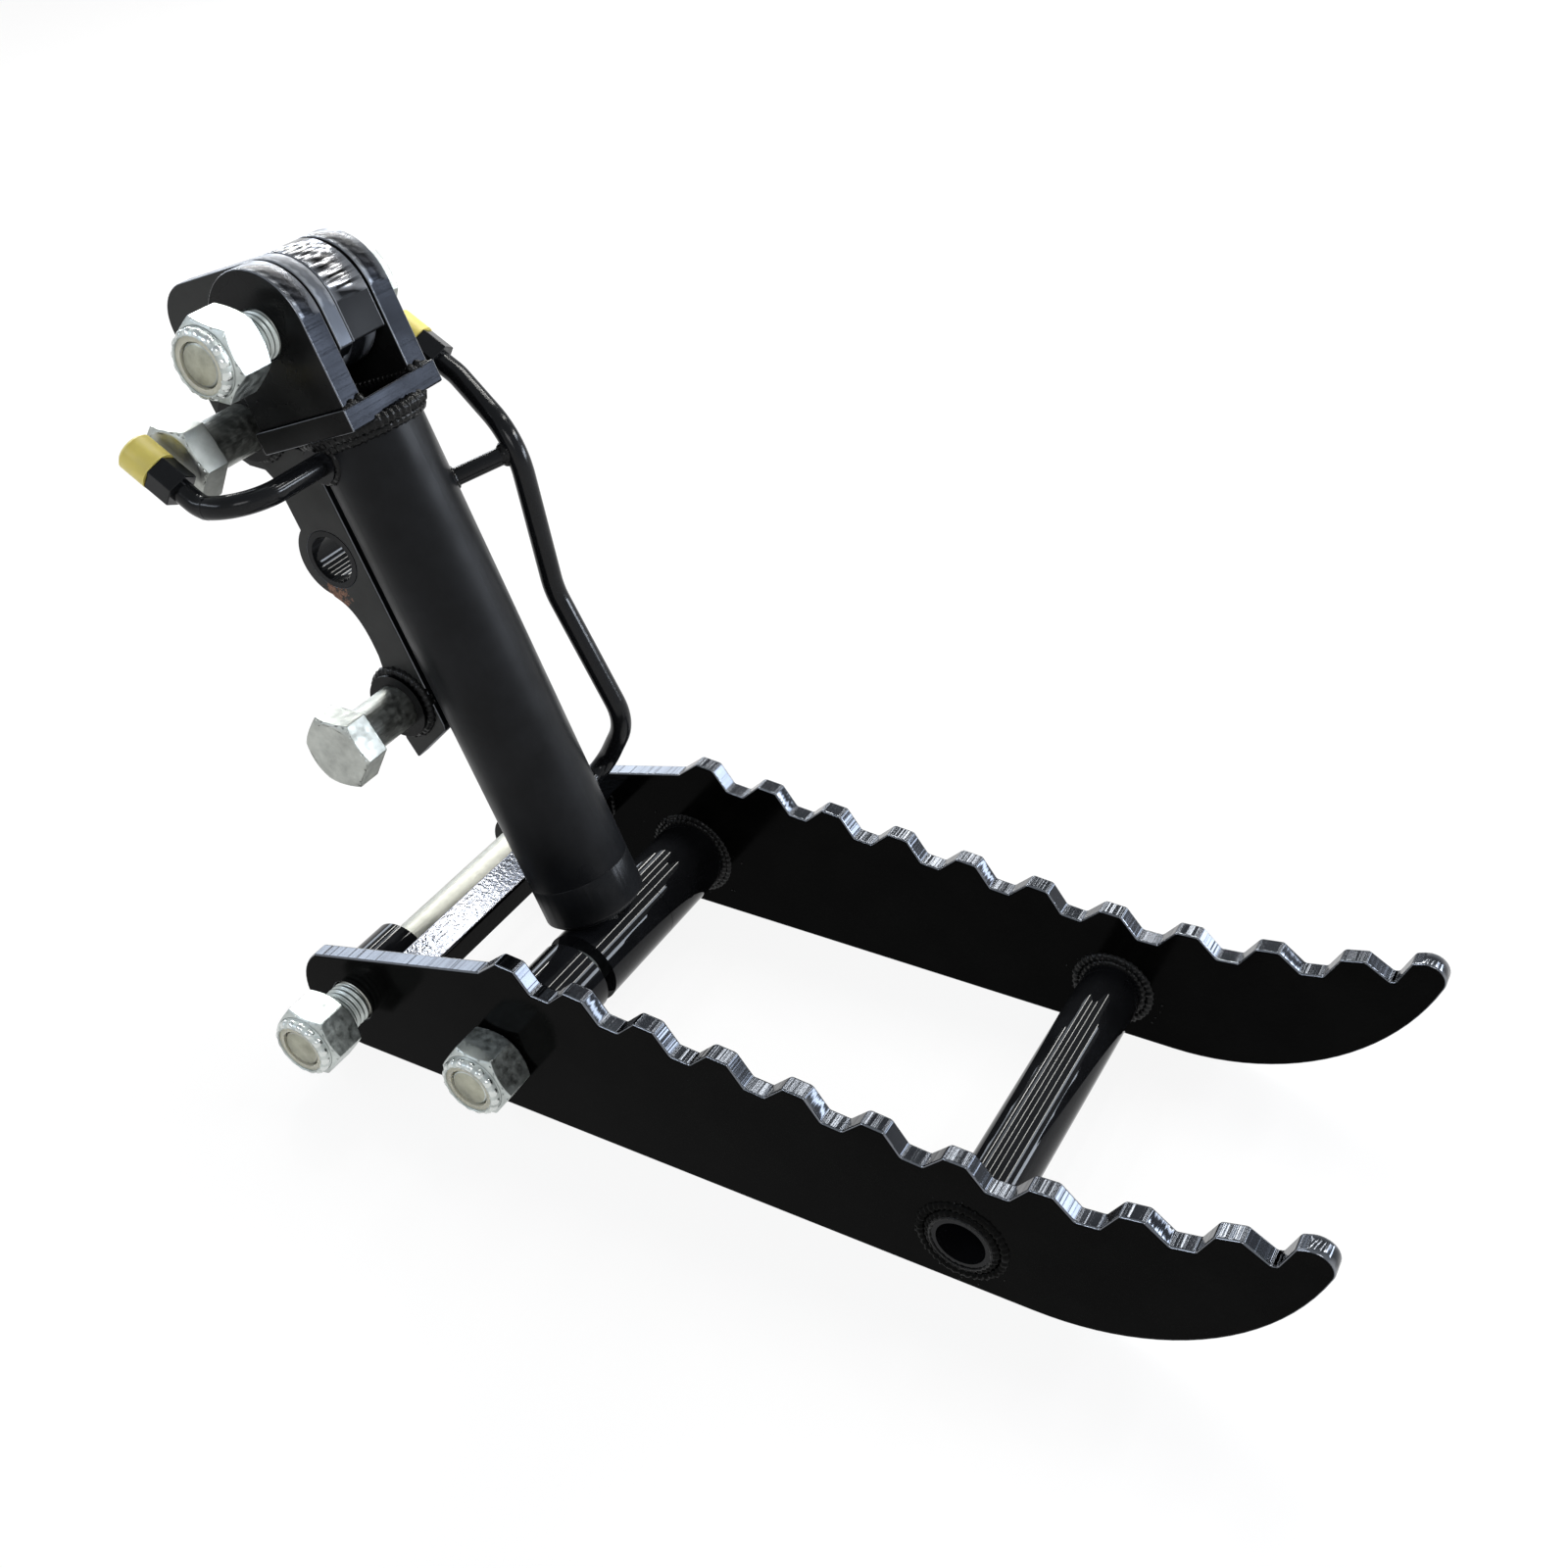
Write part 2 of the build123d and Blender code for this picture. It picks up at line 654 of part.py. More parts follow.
# Stick bracket: one flat plate with a swinging ear, a strip beside the barrel and three bores
plate_near = cylinder_y - clevis_gap / 2 + bracket_side_gap
plate_far = plate_near + bracket_thickness
strip_edge = barrel_d / 2 - pin_setback + barrel_clearance
strip_left = strip_edge + strip_width
waist_left = strip_edge + waist_width
neck_clear = clevis_plate_size / 2 + neck_play
clevis_bottom = clevis_plate_drop + clevis_plate_thickness
heel = strip_bottom - strip_bottom_rise
corner = bracket_corner_r
with BuildPart() as bracket_plate:
    with BuildSketch(section(plate_near)):
        with BuildLine():
            Line((0, ear_r), (-bracket_back + corner, bracket_top))
            RadiusArc((-bracket_back + corner, bracket_top), (-bracket_back, bracket_top - corner), -corner)
            Polyline(
                (-bracket_back, bracket_top - corner),
                (-bracket_back, -bracket_shelf + bracket_corner_cut),
                (-bracket_back + bracket_corner_cut, -bracket_shelf),
                (-strip_left - shoulder_out, -bracket_shelf - shoulder_drop),
                (-strip_left, -bracket_shelf - shoulder_end),
                (-strip_left, -mid_bore_drop - mid_straight),
            )
            Spline(
                (-strip_left, -mid_bore_drop - mid_straight),
                (-strip_left + waist_curve_in, -mid_bore_drop - waist_curve_drop),
                (-waist_left, -mid_bore_drop - waist_top),
                (-waist_left, -mid_bore_drop - waist_bottom),
            )
            Polyline(
                (-waist_left, -mid_bore_drop - waist_bottom),
                (-strip_left, -strip_bottom + strip_foot_rise),
                (-strip_left + strip_foot_in, -strip_bottom),
                (-strip_edge - strip_heel_in, -heel),
                (-strip_edge, -heel + strip_heel_rise),
                (-strip_edge, -bracket_shelf),
                (-neck_clear, -clevis_bottom - neck_play),
                (-neck_clear, -clevis_plate_drop + neck_rise),
                (-neck_in, -neck_drop),
                (ear_r - ear_foot_in, -bracket_ear_drop - ear_foot_drop),
                (ear_r, -bracket_ear_drop),
                (ear_r, 0),
            )
            RadiusArc((ear_r, 0), (0, ear_r), -ear_r)
        make_face()
        with Locations((-strip_bore_across, -mid_bore_drop)):
            Circle(mid_bulge_r)
        with Locations((-strip_edge + mid_bulge_r, -mid_bore_drop)):
            Rectangle(2 * mid_bulge_r, 3 * mid_bulge_r, mode=Mode.SUBTRACT)
        Circle(bolt_d / 2 + pin_gap, mode=Mode.SUBTRACT)
        with Locations((-strip_bore_across, -mid_bore_drop)):
            Circle(mid_bore_d / 2 + mid_tube_wall, mode=Mode.SUBTRACT)
        with Locations((-strip_bore_across, -lower_bolt_drop), (-upper_bolt_across, -upper_bolt_drop)):
            Circle(bolt_d / 2 + fixed_gap, mode=Mode.SUBTRACT)
    extrude(amount=-bracket_thickness)
save(bracket_plate, "bracket_plate")
with BuildPart() as bracket_ear:
    with BuildSketch(section(plate_far)):
        Circle(ear_r)
        with Locations((0, -bracket_ear_drop / 2)):
            Rectangle(2 * ear_r, bracket_ear_drop)
        Circle(bolt_d / 2 + pin_gap, mode=Mode.SUBTRACT)
    extrude(amount=-bracket_ear_thickness)
save(bracket_ear, "bracket_ear")
mid_place = spot(-strip_bore_across, 0, -mid_bore_drop)
lower_place = spot(-strip_bore_across, 0, -lower_bolt_drop)
upper_place = spot(-upper_bolt_across, 0, -upper_bolt_drop)
mid_tube_d = mid_bore_d + 2 * mid_tube_wall
save(y_tube(mid_place, plate_near, plate_near + mid_tube_length, mid_tube_d, mid_bore_d), "mid_bore_tube")
ring_face = plate_near - bolt_ring_height
bracket_seat = ring_face - bracket_bolt_free
weld_nut_end = plate_far + weld_nut_length
bracket_bolt_length = weld_nut_end + bracket_bolt_tip - bracket_seat
thread_bore = thread_core_d + 2 * core_gap
for place, name in ((upper_place, "upper"), (lower_place, "lower")):
    save(y_tube(place, ring_face, plate_near, bolt_ring_d, clear_bore), name + "_bolt_ring")
    save(y_tube(place, plate_far, weld_nut_end, bolt_ring_d, thread_bore), name + "_weld_nut")
    plain = plate_far - plain_short - bracket_seat
    save(hex_bolt(place, bracket_seat, 1, plain, bracket_bolt_length), name + "_bracket_bolt")
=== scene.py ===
import math
import random

import bmesh
import bpy
from mathutils import Matrix, Vector


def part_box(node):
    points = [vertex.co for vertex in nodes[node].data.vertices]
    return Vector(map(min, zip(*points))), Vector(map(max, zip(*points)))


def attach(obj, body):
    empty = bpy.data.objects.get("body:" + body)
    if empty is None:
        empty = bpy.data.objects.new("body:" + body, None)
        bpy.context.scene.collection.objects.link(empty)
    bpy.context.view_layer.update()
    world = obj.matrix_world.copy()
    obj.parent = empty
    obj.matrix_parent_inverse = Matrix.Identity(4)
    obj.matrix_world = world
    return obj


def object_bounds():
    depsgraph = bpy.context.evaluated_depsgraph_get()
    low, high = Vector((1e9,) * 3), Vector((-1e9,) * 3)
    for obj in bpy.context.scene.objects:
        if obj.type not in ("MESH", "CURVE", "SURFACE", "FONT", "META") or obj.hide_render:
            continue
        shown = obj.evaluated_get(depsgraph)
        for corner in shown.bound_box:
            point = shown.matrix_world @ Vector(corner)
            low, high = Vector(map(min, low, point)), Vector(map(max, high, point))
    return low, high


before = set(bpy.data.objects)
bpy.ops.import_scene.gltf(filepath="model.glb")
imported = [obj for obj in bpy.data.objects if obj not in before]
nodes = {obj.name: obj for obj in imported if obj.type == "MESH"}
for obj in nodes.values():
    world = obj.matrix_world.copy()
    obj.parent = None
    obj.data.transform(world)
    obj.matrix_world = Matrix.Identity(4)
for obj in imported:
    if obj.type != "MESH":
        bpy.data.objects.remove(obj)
cad_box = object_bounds()
scene = bpy.context.scene

# Directions: ALONG runs up the cylinder and ACROSS square to it, towards the thumb's tip
FULL_TURN = 2 * math.pi
X = Vector((1, 0, 0))
Y = Vector((0, 1, 0))
Z = Vector((0, 0, 1))
LEAN = math.radians(110.0)
ALONG = Vector((math.cos(LEAN), 0, math.sin(LEAN)))
ACROSS = Vector((math.sin(LEAN), 0, -math.cos(LEAN)))

# Places of the pins and faces, in metres
PIN_SPAN = 0.3525
PIN_SETBACK = 0.005
HINGE = Vector((0, 0, 0))
ROD_PIN = Vector((0.097, 0, 0.0022))
TOP_PIN = ROD_PIN + ALONG * PIN_SPAN - ACROSS * PIN_SETBACK
TIP_TUBE = Vector((0.3488, 0, -0.0028))
CYLINDER_Y = 0.00425
INSIDE = 0.086
OUTSIDE = 0.096
TUBE_FACE = 0.098

# Places on the cylinder and the bracket, in millimetres from the top pin
BARREL_Y = 4.25
BARREL_SKIN = 27.0
CLEVIS_TOP = -41
RIGHT_EAR = (-25.5, -12.5)
LEFT_EAR = (21.0, 34.0)
EAR_HALF = 29
EAR_FRONT = 30.0
STRUT_HEIGHT = -96
BRACKET_NEAR = -11.5
BRACKET_FAR = -2.5
UPPER_BOLT = (-50, -38.9)
LOWER_BOLT = (-43.5, -193.4)
MID_BORE = (-43.5, -112.6)
RUST_SPOT = (-52, -131)


def spot(side, y, height):
    """Point in metres, from millimetres across, along Y and up the cylinder from the top pin."""
    return TOP_PIN + (ACROSS * side + ALONG * height + Y * y) / 1000


def bracket_spot(place, y):
    """Point of the bracket, from its millimetres across and up, and its y."""
    side, height = place
    return spot(side, y, height)


# Camera
CAMERA_PLACE = (0.5662, -0.5649, 0.6110)
CAMERA_FORWARD = (-0.4313, 0.6934, -0.5773)
CAMERA_ROLL = math.radians(4.22)
SENSOR_WIDTH = 36.0
FOCAL_LENGTH = 40.57

camera_data = bpy.data.cameras.new("camera")
camera = bpy.data.objects.new("camera", camera_data)
scene.collection.objects.link(camera)
camera_data.sensor_width = SENSOR_WIDTH
camera_data.lens = FOCAL_LENGTH
forward = Vector(CAMERA_FORWARD).normalized()
level = forward.cross(Z).normalized()
right = level * math.cos(CAMERA_ROLL) - level.cross(forward) * math.sin(CAMERA_ROLL)
turn = Matrix((right, right.cross(forward), -forward)).transposed()
camera.matrix_world = Matrix.Translation(CAMERA_PLACE) @ turn.to_4x4()
camera_data.clip_start = 0.01
camera_data.clip_end = 100
scene.camera = camera


# Materials: tones of the paint, and painted sheens, colours that stand in for the highlights of its cut
# edges, rims, tops and bands
BLACK = (0.0042, 0.0044, 0.0050)
DEEP_BLACK = (0.0013, 0.0013, 0.0012)
GREY_BLACK = (0.005, 0.005, 0.005)
BARREL_BLACK = (0.0050, 0.0053, 0.0060)
BRACKET_BLACK = (0.0105, 0.0108, 0.0102)
# Each sheen is a painted highlight: a metal colour on the faces that should catch the lamps, while the same
# paint elsewhere stays dull
CUT_SHEEN = (0.048, 0.052, 0.060)
RIM_SHEEN = (0.20, 0.21, 0.23)
BAR_SHEEN = (0.12, 0.125, 0.14)
BAND_SHEEN = (0.24, 0.24, 0.25)
CLEVIS_SHEEN = (0.0075, 0.0082, 0.0100)
RUST_DARK = (0.035, 0.014, 0.008)
RUST_PALE = (0.26, 0.13, 0.08)

# Noises, as scale, detail and roughness, and the two values that most of a noise lies between
DUST_AND_SHEEN = (38, 4)
PATCHES = (24, 3)
PEEL = (380, 2)
PAINT_LINES = (1.0, 2, 0.4)
PAINT_BANDS = (1.0, 1, 0.3)
ZINC_CLOUD = (90, 5, 0.6)
ZINC_GRAIN = (260, 4)
ZINC_LINES = (1.0, 1)
PLASTIC_WEAR = (60, 4)
PLASTIC_SKIN = (500, 2)
CHIPPED_EDGE = (330, 4, 0.7)
RUST_GRAIN = (700, 4, 0.7)
LOW = 0.3
HIGH = 0.7

# Lines along Y: pitch in metres, and waves in a metre along a line
STREAK_PITCH = 0.003
BAND_PITCH = 0.0022
LINE_WAVES = 5
ZINC_LINE_SCALE = (500, 3, 500)

# Limits of how far a face looks along Y: cut edges below EDGE_LOOK, rounded rims between the other two
EDGE_LOOK = (0.72, 0.9)
RIM_START = (0.1, 0.3)
RIM_STOP = (0.70, 0.88)

# Bumps, as strength and height in metres
PEEL_HEIGHT = 0.0001
GRAIN_BUMP = (0.05, 0.00008)
SKIN_BUMP = (0.2, 0.0002)
WEAR_BUMP = (0.3, 0.001)


def node(tree, kind, **inputs):
    made = tree.nodes.new(kind)
    for name, value in inputs.items():
        made.inputs[name].default_value = value
    return made


def new_material(name):
    made = bpy.data.materials.new(name)
    made.use_nodes = True
    tree = made.node_tree
    tree.nodes.clear()
    out = tree.nodes.new("ShaderNodeOutputMaterial")
    shader = tree.nodes.new("ShaderNodeBsdfPrincipled")
    tree.links.new(shader.outputs["BSDF"], out.inputs["Surface"])
    return made, tree, shader


def object_place(tree):
    return tree.nodes.new("ShaderNodeTexCoord").outputs["Object"]


def noise(tree, vector, scale, detail=3.0, rough=0.55):
    made = node(tree, "ShaderNodeTexNoise", Scale=scale, Detail=detail, Roughness=rough)
    tree.links.new(vector, made.inputs["Vector"])
    return made.outputs["Fac"]


def stretched(tree, vector, scale):
    made = tree.nodes.new("ShaderNodeMapping")
    made.inputs["Scale"].default_value = scale
    tree.links.new(vector, made.inputs["Vector"])
    return made.outputs["Vector"]


def ramp(tree, value, stops):
    made = tree.nodes.new("ShaderNodeValToRGB")
    ends = made.color_ramp.elements
    while len(ends) < len(stops):
        ends.new(0.5)
    for element, (place, colour) in zip(ends, stops):
        element.position = place
        element.color = (*colour, 1)
    tree.links.new(value, made.inputs["Fac"])
    return made.outputs["Color"]


def spread(tree, value, low, high, out_low=0.0, out_high=1.0):
    made = tree.nodes.new("ShaderNodeMapRange")
    made.inputs["From Min"].default_value = low
    made.inputs["From Max"].default_value = high
    made.inputs["To Min"].default_value = out_low
    made.inputs["To Max"].default_value = out_high
    tree.links.new(value, made.inputs["Value"])
    return made.outputs["Result"]


def maths(tree, operation, first, second):
    made = tree.nodes.new("ShaderNodeMath")
    made.operation = operation
    for place, value in enumerate((first, second)):
        if isinstance(value, (int, float)):
            made.inputs[place].default_value = value
        else:
            tree.links.new(value, made.inputs[place])
    return made.outputs["Value"]


def bumps(tree, shader, layers):
    """Bump layers of (height socket, strength, distance), one on top of another."""
    normal = None
    for height, strength, distance in layers:
        made = node(tree, "ShaderNodeBump", Strength=strength, Distance=distance)
        tree.links.new(height, made.inputs["Height"])
        if normal:
            tree.links.new(normal, made.inputs["Normal"])
        normal = made.outputs["Normal"]
    tree.links.new(normal, shader.inputs["Normal"])


def mixed(tree, factor, first, second):
    made = tree.nodes.new("ShaderNodeMix")
    made.data_type = "RGBA"
    for name, kind, value in (("Factor", "VALUE", factor), ("A", "RGBA", first), ("B", "RGBA", second)):
        socket = next(s for s in made.inputs if s.name == name and s.type == kind)
        tree.links.new(value, socket)
    return next(s for s in made.outputs if s.type == "RGBA")


def sideways(tree):
    """How far a face looks along Y: nought on the plates' cut edges and one on their sides."""
    geometry = tree.nodes.new("ShaderNodeNewGeometry")
    split = tree.nodes.new("ShaderNodeSeparateXYZ")
    tree.links.new(geometry.outputs["Normal"], split.inputs["Vector"])
    return maths(tree, "ABSOLUTE", split.outputs["Y"], 0)


def edge_mask(tree):
    """One on the cut edges of the plates and nought on their sides."""
    return spread(tree, sideways(tree), *EDGE_LOOK, 1.0, 0.0)


def rim_mask(tree):
    """One on the rounded rims between the cut edges and the sides, and nought on both."""
    side = sideways(tree)
    past_edge = spread(tree, side, *RIM_START)
    before_side = spread(tree, side, *RIM_STOP, 1.0, 0.0)
    return maths(tree, "MULTIPLY", past_edge, before_side)


def upward(tree, low, high):
    """One on the faces of a piece that look up, measured on the piece itself, and nought on the rest."""
    split = tree.nodes.new("ShaderNodeSeparateXYZ")
    tree.links.new(tree.nodes.new("ShaderNodeTexCoord").outputs["Normal"], split.inputs["Vector"])
    return spread(tree, split.outputs["Z"], low, high)


def paint(name, streak, peel, rough, gloss, tone=BLACK, edge=None, pitch=STREAK_PITCH, up=None, bands=None):
    """Black paint: streak is the depth of the lines along Y under it, edge the sheen of cut edges.

    The edge sheen is painted: the cut edges turn to metal in that colour to catch the lamps as highlights,
    and their rounded rims get a lighter painted highlight.
    With up, two limits for a face's upward look, only the faces that look up have that painted sheen.
    With bands, the painted sheen comes in bands across the edge, standing in for striped reflections, with
    this one between them.
    """
    made, tree, shader = new_material(name)
    place = object_place(tree)
    line_scale = (1 / pitch, LINE_WAVES, 1 / pitch)
    dust_and_sheen = noise(tree, place, *DUST_AND_SHEEN)
    dusty = tuple(c * 2.0 for c in tone)
    colour = ramp(tree, dust_and_sheen, [(0.35, tone), (0.75, dusty)])
    mask = edge_mask(tree)
    if up:
        mask = maths(tree, "MULTIPLY", mask, upward(tree, *up))
    if edge:
        # Painted sheen: the cut edges turn to metal in the sheen colour, made uneven by the dust noise, to
        # stand in for their highlights
        tree.links.new(mask, shader.inputs["Metallic"])
        dim = tuple(c * 0.7 for c in edge)
        sheen = ramp(tree, dust_and_sheen, [(LOW, dim), (HIGH, edge)])
        if bands:
            across = noise(tree, stretched(tree, place, line_scale), *PAINT_BANDS)
            sheen = ramp(tree, across, [(0.44, bands), (0.54, edge)])
        colour = mixed(tree, mask, colour, sheen)
        # Painted highlight: the rounded rims get the lighter RIM_SHEEN
        rim_sheen = ramp(tree, dust_and_sheen, [(LOW, RIM_SHEEN), (HIGH, RIM_SHEEN)])
        colour = mixed(tree, rim_mask(tree), colour, rim_sheen)
    tree.links.new(colour, shader.inputs["Base Color"])
    patchy = noise(tree, place, *PATCHES)
    roughness = spread(tree, patchy, 0.3, 0.75, rough * 0.7, rough * 1.5)
    tree.links.new(roughness, shader.inputs["Roughness"])
    layers = [(noise(tree, place, *PEEL), peel, PEEL_HEIGHT)]
    if streak:
        lines = noise(tree, stretched(tree, place, line_scale), *PAINT_LINES)
        layers.insert(0, (maths(tree, "MULTIPLY", lines, mask), 1.0, streak))
    bumps(tree, shader, layers)
    shader.inputs["Specular IOR Level"].default_value = gloss
    return made


def zinc(name, tint, rough, mottled, streak=0.0):
    """Bare or plated metal: mottled is how much darker its clouds are, streak the depth of its lines."""
    made, tree, shader = new_material(name)
    place = object_place(tree)
    cloud = noise(tree, place, *ZINC_CLOUD)
    dark = tuple(c * (1 - mottled) for c in tint)
    colour = ramp(tree, cloud, [(0.32, dark), (0.62, tint)])
    tree.links.new(colour, shader.inputs["Base Color"])
    shader.inputs["Metallic"].default_value = 1.0
    grain = noise(tree, place, *ZINC_GRAIN)
    roughness = spread(tree, grain, LOW, HIGH, rough * 0.75, rough * 1.35)
    tree.links.new(roughness, shader.inputs["Roughness"])
    layers = [(grain, *GRAIN_BUMP)]
    if streak:
        lines = noise(tree, stretched(tree, place, ZINC_LINE_SCALE), *ZINC_LINES)
        layers = [(lines, 1.0, streak)]
    bumps(tree, shader, layers)
    return made


def plastic(name, tone, rough, soft):
    """Plastic or rubber: soft is the weight of the light that passes under its skin."""
    made, tree, shader = new_material(name)
    place = object_place(tree)
    worn = noise(tree, place, *PLASTIC_WEAR)
    dim = tuple(c * 0.82 for c in tone)
    colour = ramp(tree, worn, [(LOW, dim), (HIGH, tone)])
    tree.links.new(colour, shader.inputs["Base Color"])
    roughness = spread(tree, worn, LOW, HIGH, rough * 1.2, rough * 0.85)
    tree.links.new(roughness, shader.inputs["Roughness"])
    skin = noise(tree, place, *PLASTIC_SKIN)
    bumps(tree, shader, [(skin, *SKIN_BUMP), (worn, *WEAR_BUMP)])
    shader.inputs["Subsurface Weight"].default_value = soft
    shader.inputs["Subsurface Radius"].default_value = (0.006, 0.005, 0.002)
    shader.inputs["Subsurface Scale"].default_value = 0.4
    return made


def rusty_paint(name, centre, radius):
    """The bracket's paint, with a small rust spot where it has chipped below the middle bore."""
    made = paint(name, streak=0.0001, peel=0.3, rough=0.38, gloss=0.2, tone=BRACKET_BLACK, edge=CUT_SHEEN)
    tree = made.node_tree
    shader = next(n for n in tree.nodes if n.type == "BSDF_PRINCIPLED")
    place = object_place(tree)
    away = tree.nodes.new("ShaderNodeVectorMath")
    away.operation = "DISTANCE"
    tree.links.new(place, away.inputs[0])
    away.inputs[1].default_value = centre
    ragged = noise(tree, place, *CHIPPED_EDGE)
    wobble = spread(tree, ragged, LOW, HIGH, -radius * 0.6, radius * 0.9)
    reach = maths(tree, "ADD", away.outputs["Value"], wobble)
    mask = spread(tree, reach, radius * 0.85, radius, 1.0, 0.0)
    painted = shader.inputs["Base Color"].links[0].from_socket
    rust = ramp(tree, noise(tree, place, *RUST_GRAIN), [(0.35, RUST_DARK), (0.65, RUST_PALE)])
    tree.links.new(mixed(tree, mask, painted, rust), shader.inputs["Base Color"])
    return made


RUST_RADIUS = 0.0085
plate_paint = paint("plate_paint", streak=0.00020, peel=0.08, rough=0.12, gloss=0.02,
                    tone=DEEP_BLACK, edge=CUT_SHEEN)
tube_paint = paint("tube_paint", streak=0.0, peel=0.01, rough=0.035, gloss=0.14)
# The bar's painted sheen lies only on its upward top, standing in for the lamp's highlight there
bar_paint = paint("bar_paint", streak=0.0, peel=0.9, rough=0.08, gloss=0.04,
                  tone=DEEP_BLACK, edge=BAR_SHEEN, up=(0.8, 0.95))
# The ear's rounded top gets painted sheen in bands with black between, standing in for striped reflections
# of the lamps
ear_paint = paint("ear_paint", streak=0.0002, peel=0.1, rough=0.14, gloss=0.02,
                  edge=BAND_SHEEN, pitch=BAND_PITCH, up=(0.40, 0.50), bands=DEEP_BLACK)
barrel_paint = paint("barrel_paint", streak=0.0, peel=0.3, rough=0.36, gloss=0.12, tone=BARREL_BLACK)
clevis_paint = paint("clevis_paint", streak=0.00016, peel=0.5, rough=0.26, gloss=0.10,
                     tone=GREY_BLACK, edge=CLEVIS_SHEEN)
pipe_paint = paint("pipe_paint", streak=0.0, peel=0.4, rough=0.15, gloss=0.20)
weld_paint = paint("weld_paint", streak=0.0, peel=1.0, rough=0.20, gloss=0.14, tone=GREY_BLACK)
dark_weld = paint("dark_weld", streak=0.0, peel=0.6, rough=0.34, gloss=0.04, tone=DEEP_BLACK)
bracket_paint = rusty_paint("bracket_paint", bracket_spot(RUST_SPOT, BRACKET_NEAR), RUST_RADIUS)
bright_zinc = zinc("bright_zinc", (0.56, 0.60, 0.58), rough=0.42, mottled=0.30)
shank_zinc = zinc("shank_zinc", (0.40, 0.40, 0.36), rough=0.42, mottled=0.06, streak=0.00003)
head_zinc = zinc("head_zinc", (0.40, 0.42, 0.39), rough=0.50, mottled=0.20)
crimp_zinc = zinc("crimp_zinc", (0.66, 0.69, 0.67), rough=0.24, mottled=0.10)
dull_zinc = zinc("dull_zinc", (0.45, 0.465, 0.435), rough=0.46, mottled=0.26)
chrome = zinc("hard_chrome", (0.82, 0.83, 0.84), rough=0.08, mottled=0.04)
machined = zinc("machined_steel", (0.45, 0.45, 0.46), rough=0.3, mottled=0.2)
yellow = plastic("yellow_cap", (0.66, 0.55, 0.13), rough=0.42, soft=0.25)
nylon = plastic("nylon", (0.52, 0.50, 0.40), rough=0.5, soft=0.1)
end_zinc = zinc("bolt_end_zinc", (0.42, 0.42, 0.34), rough=0.5, mottled=0.3)
rubber = plastic("rubber", (0.02, 0.02, 0.02), rough=0.6, soft=0.0)


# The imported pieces
LOOKS = {
    plate_paint: ["right_tine", "left_tine"],
    tube_paint: ["tip_cross_tube", "right_hinge_boss", "left_hinge_boss", "right_rod_spacer",
                 "left_rod_spacer", "rod_eye", "mid_bore_tube"],
    ear_paint: ["bracket_ear"],
    bar_paint: ["cross_bar"],
    barrel_paint: ["barrel_tube", "gland"],
    clevis_paint: ["clevis_plate", "right_clevis_ear", "left_clevis_ear", "upper_bolt_ring",
                   "lower_bolt_ring", "upper_weld_nut", "lower_weld_nut"],
    pipe_paint: ["base_port_boss", "base_port_tube", "base_port_fitting", "rod_port_boss", "rod_port_tube",
                 "rod_port_fitting", "tube_strut"],
    bracket_paint: ["bracket_plate"],
    bright_zinc: ["hinge_nut", "rod_pin_nut", "top_pin_nut", "rod_pin_bolt"],
    head_zinc: ["top_pin_bolt"],
    shank_zinc: ["hinge_bolt"],
    dull_zinc: ["upper_bracket_bolt", "lower_bracket_bolt"],
    chrome: ["piston_rod"],
    machined: ["piston", "piston_nut", "end_cap"],
    rubber: ["piston_seal", "rod_seal", "wiper_seal"],
    nylon: ["hinge_nut_insert", "rod_pin_nut_insert", "top_pin_nut_insert"],
    yellow: ["base_port_cap", "rod_port_cap"],
}
for look, names in LOOKS.items():
    for name in names:
        nodes[name].data.materials.clear()
        nodes[name].data.materials.append(look)

# Rounded edges, in metres. Only the plates lose the extra points of their flat faces first
TINE_ROUND = 0.0013
PLATE_ROUND = 0.0009
FASTENER_ROUND = 0.0005
SAME_POINT = 0.00002
FLAT_WITHIN = math.radians(0.3)
ROUND_ABOVE = math.radians(28)
EDGE_ROUND = {
    TINE_ROUND: ["right_tine", "left_tine"],
    PLATE_ROUND: ["clevis_plate", "right_clevis_ear", "left_clevis_ear", "bracket_plate", "bracket_ear"],
    FASTENER_ROUND: ["hinge_nut", "rod_pin_nut", "top_pin_nut", "base_port_fitting", "rod_port_fitting",
                     "gland", "upper_bracket_bolt", "lower_bracket_bolt", "top_pin_bolt", "hinge_bolt",
                     "rod_pin_bolt"],
}
for width, names in EDGE_ROUND.items():
    for name in names:
        joined = nodes[name].modifiers.new("joined", "WELD")
        joined.merge_threshold = SAME_POINT
        if width > FASTENER_ROUND:
            merged = nodes[name].modifiers.new("merged", "DECIMATE")
            merged.decimate_type = "DISSOLVE"
            merged.angle_limit = FLAT_WITHIN
        rounded = nodes[name].modifiers.new("rounded", "BEVEL")
        rounded.width = width
        rounded.segments = 2
        rounded.limit_method = "ANGLE"
        rounded.angle_limit = ROUND_ABOVE
        rounded.harden_normals = True
        rounded.use_clamp_overlap = False


# Added pieces
def piece(name, points, faces, look, body):
    mesh = bpy.data.meshes.new(name)
    mesh.from_pydata([tuple(p) for p in points], [], faces)
    mesh.materials.append(look)
    build = bmesh.new()
    build.from_mesh(mesh)
    bmesh.ops.recalc_face_normals(build, faces=build.faces)
    build.to_mesh(mesh)
    build.free()
    for face in mesh.polygons:
        face.use_smooth = True
    made = bpy.data.objects.new(name, mesh)
    scene.collection.objects.link(made)
    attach(made, body)
    return made


def around_y(place, radius, angle, y):
    """Point on a circle round the line along Y that runs through a place."""
    return Vector((place.x + radius * math.cos(angle), y, place.z + radius * math.sin(angle)))


